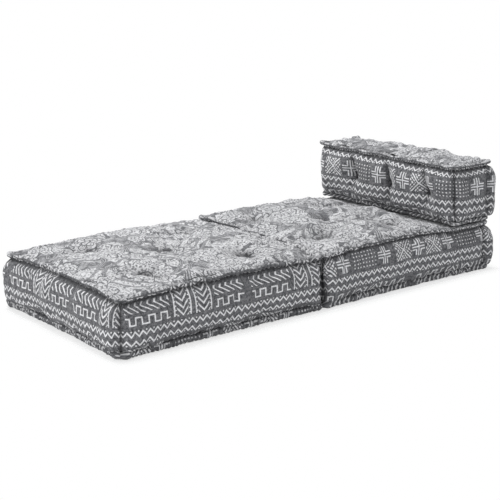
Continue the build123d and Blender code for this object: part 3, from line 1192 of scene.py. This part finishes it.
def flowers(place, pitch, radius, petals, randomness):
    """Scattered flowers: where they are filled, and the dark lines inside and round them."""
    x, y, chance = scattered(place, pitch, randomness)
    reach = x.length(y)
    turn = y.angle(x) + chance * tau
    wave = (turn * (petals / 2)).sine().size()
    rim = reach - (wave * 0.28 + 0.72) * radius
    spokes = (wave * reach).within(fine_line) * reach.between(radius * 0.3, radius)
    rings = reach.off(radius * 0.26).within(fine_line * 0.8)
    rings = rings.most(rim.off(radius * -0.30).within(fine_line * 0.7))
    border = rim.off(fine_line).within(fine_line)
    return (rim - fine_line * 2).within(0.0), spokes.most(rings).most(border)


def leaves(place, pitch, long, wide):
    """Scattered leaves turned every way: where they are filled, with their veins left dark."""
    x, y, chance = scattered(place, pitch)
    turn = chance * tau
    cosine, sine = turn.cosine(), turn.sine()
    along = x * cosine + y * sine
    across = (y * cosine - x * sine).size()
    side = (along * along * (-1 / long ** 2) + 1) * wide
    vein = across.within(fine_line * 0.45, 0.0008).inverse()
    return (across - side).within(0.0, 0.0012) * vein


def floral_print(place):
    """Print of the top panels: bent stems, flowers, leaves and dotted grounds."""
    bent = wavered(wavered(place, 4.0, 0.13), 13.0, 0.026)
    u, v = axes(bent)
    waves = (u * (tau / stem_long)).cosine() + (v * (tau / stem_wide)).cosine()
    stem = waves.size().off(0.30)
    seeds = dots(place, 0.0108, 0.0029, 0.0012)
    patch = noise_field(moved(place, 3.1, 1.7), 9.0, 1.0)
    mask = (patch * -1).within(-0.57, 0.03) * seeds.inverse() * 0.95
    for pitch, long, wide, shift in leaf_kinds:
        mask = mask.most(leaves(moved(bent, *shift), pitch, long, wide))
    mask = mask * (patch.within(0.42, 0.05) * 0.6).inverse()
    large, large_lines = flowers(bent, 0.24, 0.084, 9, 0.6)
    small, small_lines = flowers(moved(bent, 0.31, 0.77), 0.118, 0.033, 6, 0.9)
    mask = mask * stem.within(0.11, 0.04).inverse()
    mask = mask.most(stem.off(0.045).within(0.013, 0.02) * 0.9)
    mask = mask * small.inverse() + small * small_lines.inverse()
    lace = (seeds * 0.85).inverse()
    mask = mask * large.inverse() + large * large_lines.inverse() * lace
    specks = dots(moved(place, 0.2, 0.6), 0.0098, 0.0023, 0.0010) * 0.7
    return mask * specks.inverse()


def mottle(place):
    """Print of plain cloth, cotton and twine: blotches between two colours."""
    return noise_field(place, 60.0, 3.0)


# Dressing

floral = cloth(
    "floral_cloth", floral_print, (floral_ground, floral_ground_pale), (floral_worn, floral_pale)
)
twine, thread, strip, cotton = (
    cloth(name, mottle, (dark, dark), (pale, pale), printed=False) for name, dark, pale in (
        ("tuft_twine", (0.03, 0.03, 0.033, 1), (0.08, 0.08, 0.085, 1)),
        ("stitch_thread", (0.10, 0.10, 0.105, 1), (0.26, 0.26, 0.27, 1)),
        ("strip_cloth", (0.08, 0.08, 0.085, 1), (0.14, 0.14, 0.145, 1)),
        ("cotton_wadding", (0.62, 0.60, 0.54, 1), (0.78, 0.76, 0.70, 1)),
    )
)

# For each cushion: the height of the band of crosses on its wall and which way up its cloth is,
# how far along the cloth each side starts, in the order of the cushion's sides, and how much
# cloth lies on each metre of a side, where fullness gathers it
cloth_cuts = {
    "foot": ((0.002, 1.0), (-0.154, 0.10, -0.05, -0.218), (1, 1, 1, 1.168)),
    "seat": ((seat.height * 0.823, -1.0), (-0.120, 0.21, 0.03, 0.12), (1, 1, 1, 1)),
    "back": ((back.height * 0.640, -1.0), (0.030, 0.13, 0.29, 0.259), (1, 1, 1, 1)),
}

pads = []
dressed = {}
for cushion in cushions:
    points, flat, pins = top_grid(cushion)
    top = cloth_grid(f"{cushion.name}_top_cover", points, flat)
    pads.append((top, pins))
    points, flat, pins, starts = wall_grid(cushion)
    walls = cloth_grid(f"{cushion.name}_walls", points, flat, wrap_columns=True)
    pads.append((walls, pins))
    dressed[cushion.name] = (top, walls, starts)

settle(pads)


def dress(piece, *materials):
    piece.data.materials.clear()
    for material in materials:
        piece.data.materials.append(material)


def finish_piece(piece, cushion, materials, node=None):
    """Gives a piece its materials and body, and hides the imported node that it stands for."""
    dress(piece, *materials)
    if node is not None:
        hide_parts(node)
    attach(piece, cushion.name)


for number, cushion in enumerate(cushions):
    name = cushion.name
    top, walls, starts = dressed[name]
    band, shifts, scales = cloth_cuts[name]
    banded = cloth(
        f"{name}_banded_cloth", lambda place: banded_print(wavered(place, 12.0, 0.0040), *band),
        (ground_dark, ground), (print_worn, print_pale),
    )
    smooth_out(top, 1)
    wrinkle_top(cushion, top, 40 + number)
    finish_piece(top, cushion, [floral], f"{name}_top_panel")
    smooth_out(walls, 2 if cushion.level_twines else 1)
    wrinkle_wall(cushion, walls, starts, 70 + number)
    covers = split_wall(cushion, walls, starts, shifts, scales)
    for cover, side_name in zip(covers, cushion.sides):
        finish_piece(cover, cushion, [banded], f"{name}_{side_name}")
    under = cloth_grid(f"{name}_bottom_cover", *bottom_grid(cushion))
    finish_piece(under, cushion, [banded], f"{name}_bottom_panel")
    for upper, node in ((True, "top_roll"), (False, "bottom_roll")):
        shape = Roll(cushion, upper)
        roll, above = roll_cover(f"{name}_{node}_cover", shape, shifts, scales)
        finish_piece(roll, cushion, [banded, floral], f"{name}_{node}")
        roll.data.polygons.foreach_set("material_index", above.astype(np.int32))
        sewing = stitches(f"{name}_{node}_stitches", shape)
        finish_piece(sewing, cushion, [thread])
    filling = cloth_grid(f"{name}_stuffing", *filling_grid(cushion), wrap_columns=True)
    finish_piece(filling, cushion, [cotton], f"{name}_filling")

# The two walls that press on each other when the back tips over each get a mesh of their own
for cushion, name in ((back, "back_rear_cover"), (seat, "seat_head_end_cover")):
    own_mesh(bpy.data.objects[name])

for node, piece in frame["nodes"].items():
    if node.endswith("_leaf"):
        dress(piece, strip)
    elif node.endswith(("_twines", "_knots")):
        dress(piece, twine)


# Stage: floor, lights and camera

floor_half = 9.0
floor_mesh = bpy.data.meshes.new("floor")
floor_mesh.from_pydata([(*corner, 0) for corner in square * floor_half], [], [(0, 1, 2, 3)])
floor = bpy.data.objects.new("floor", floor_mesh)
floor.location.z = cad_low.z - 0.0005
scene.collection.objects.link(floor)

# The floor shows its shadows close to the sofa and fades into the white world further out
floor_share = 0.38
floor_glow = 0.10
fade_reach = 0.055
paper = bpy.data.materials.new("floor_paper")
tree = clean_tree(paper)
seen = Field(add_node(tree, "ShaderNodeLightPath").outputs["Is Camera Ray"])
east, north = axes(add_node(tree, "ShaderNodeTexCoord").outputs["Object"])
beyond = (east.size() - cad_high.x).most(north.size() - cad_high.y)
near = (beyond * (-1 / fade_reach) + 1).limited()
share = seen * (near * near * -floor_share + 1)
matt = add_node(tree, "ShaderNodeBsdfDiffuse", {"Color": (0.92, 0.92, 0.92, 1)})
glow = add_node(tree, "ShaderNodeEmission", {"Strength": seen * floor_glow})
lit = add_node(tree, "ShaderNodeAddShader", {0: matt, 1: glow})
clear = add_node(tree, "ShaderNodeBsdfTransparent")
blend = add_node(tree, "ShaderNodeMixShader", {0: share, 1: lit, 2: clear})
add_node(tree, "ShaderNodeOutputMaterial", {"Surface": blend})
floor_mesh.materials.append(paper)

# A white world to look at, and a softer one to light the sofa
world = bpy.data.worlds.new("studio")
scene.world = world
tree = clean_tree(world)
rays = add_node(tree, "ShaderNodeLightPath")
seen, glossy, through = (
    Field(rays.outputs[f"Is {kind} Ray"]) for kind in ("Camera", "Glossy", "Transmission")
)
seen = seen.most(glossy).most(through)
soft = add_node(tree, "ShaderNodeBackground", {"Color": (0.97, 0.98, 1.0, 1), "Strength": 0.58})
white = add_node(tree, "ShaderNodeBackground", {"Color": (1, 1, 1, 1)})
blend = add_node(tree, "ShaderNodeMixShader", {0: seen, 1: soft, 2: white})
add_node(tree, "ShaderNodeOutputWorld", {"Surface": blend})


def area_light(name, place, aim, size, power):
    """Soft square lamp at a place, aimed at a point."""
    lamp = bpy.data.lights.new(name, "AREA")
    lamp.shape = "SQUARE"
    lamp.size = size
    lamp.energy = power
    piece = bpy.data.objects.new(name, lamp)
    piece.location = place
    piece.rotation_mode = "QUATERNION"
    piece.rotation_quaternion = (Vector(aim) - Vector(place)).to_track_quat("-Z", "Y")
    scene.collection.objects.link(piece)


area_light("overhead", (-0.5, 0.8, 3.0), (0, 0, 0.1), 1.5, 62)
area_light("left_fill", (-3.2, -1.0, 1.6), (0, 0, 0.1), 2.0, 28)

# Camera fitted to the corners of the cushions in the photograph
frame_pixels = 500
focal_pixels = 1172.4
camera_place = (-2.2014, -2.6914, 1.0235)
camera_yaw = radians(51.238)
camera_pitch = radians(14.658)
camera_data = bpy.data.cameras.new("camera")
camera_data.sensor_width = 36.0
camera_data.lens = camera_data.sensor_width * focal_pixels / frame_pixels
camera = bpy.data.objects.new("camera", camera_data)
camera.location = camera_place
camera.rotation_euler = (pi / 2 - camera_pitch, 0, camera_yaw - pi / 2)
scene.collection.objects.link(camera)
scene.camera = camera
scene.view_settings.view_transform = "Standard"
